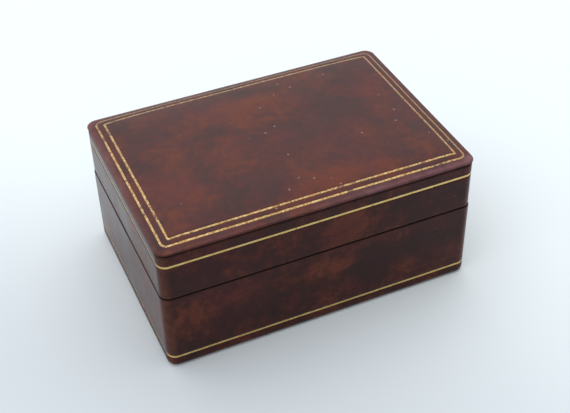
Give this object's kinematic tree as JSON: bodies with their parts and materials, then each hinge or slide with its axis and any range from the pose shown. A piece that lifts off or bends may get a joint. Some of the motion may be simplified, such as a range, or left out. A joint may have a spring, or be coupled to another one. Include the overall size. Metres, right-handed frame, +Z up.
{
  "type": "jewellery case",
  "caption": "Rectangular leather-covered jewellery case with gilt lines, a cushioned lid hinged at the back, and a velvet interior with ring rolls and compartments.",
  "frame": {"origin": "centre of the underside, where the case stands", "axes": "+Z up, +X along the long side to the right seen from the front, -Y is the front and +Y the hinged back"},
  "size_m": [0.13, 0.093, 0.06],
  "materials": {
    "oxblood_leather": "polished marbled calf, red-brown with grey-brown clouds",
    "gilt": "gold foil pressed into the leather, broken in places",
    "poplar": "plain sawn",
    "millboard": "dense grey pressed board",
    "velvet": "short pile",
    "satin": "soft sheen",
    "underside_felt": "dull baize",
    "wadding": "cotton wadding",
    "brass": "lightly polished",
    "steel": "plain"
  },
  "bodies": {
    "base": {"base_front_board": "poplar", "base_back_board": "poplar", "base_left_board": "poplar", "base_right_board": "poplar", "base_bottom_board": "millboard", "base_leather": "oxblood_leather", "base_gilt_line": "gilt", "underside_pad": "underside_felt", "base_front_lining": "velvet", "base_back_lining": "velvet", "base_left_lining": "velvet", "base_right_lining": "velvet", "floor_pad": "velvet", "ring_divider": "velvet", "long_divider": "velvet", "cross_divider": "velvet", "ring_bed": "velvet", "ring_roll_1": "velvet", "ring_roll_2": "velvet", "ring_roll_3": "velvet", "ring_roll_4": "velvet", "ring_roll_5": "velvet", "ring_roll_6": "velvet", "left_hinge_base_leaf": "brass", "right_hinge_base_leaf": "brass", "left_hinge_pin": "brass", "right_hinge_pin": "brass", "base_hinge_screws": "steel"},
    "lid": {"lid_front_board": "poplar", "lid_back_board": "poplar", "lid_left_board": "poplar", "lid_right_board": "poplar", "lid_top_board": "millboard", "lid_wadding": "wadding", "lid_top_leather": "oxblood_leather", "lid_side_leather": "oxblood_leather", "lid_side_gilt_line": "gilt", "lid_outer_gilt_frame": "gilt", "lid_inner_gilt_frame": "gilt", "lid_front_lining": "satin", "lid_back_lining": "satin", "lid_left_lining": "satin", "lid_right_lining": "satin", "lid_pad": "satin", "left_hinge_lid_leaf": "brass", "right_hinge_lid_leaf": "brass", "lid_hinge_screws": "steel"}
  },
  "joints": [
    {"name": "lid_hinge", "type": "hinge", "parent": "base", "child": "lid", "pos_m": [0, 0.0465, 0.0354], "axis": [-1, 0, 0], "range_deg": [0, 100]}
  ]
}
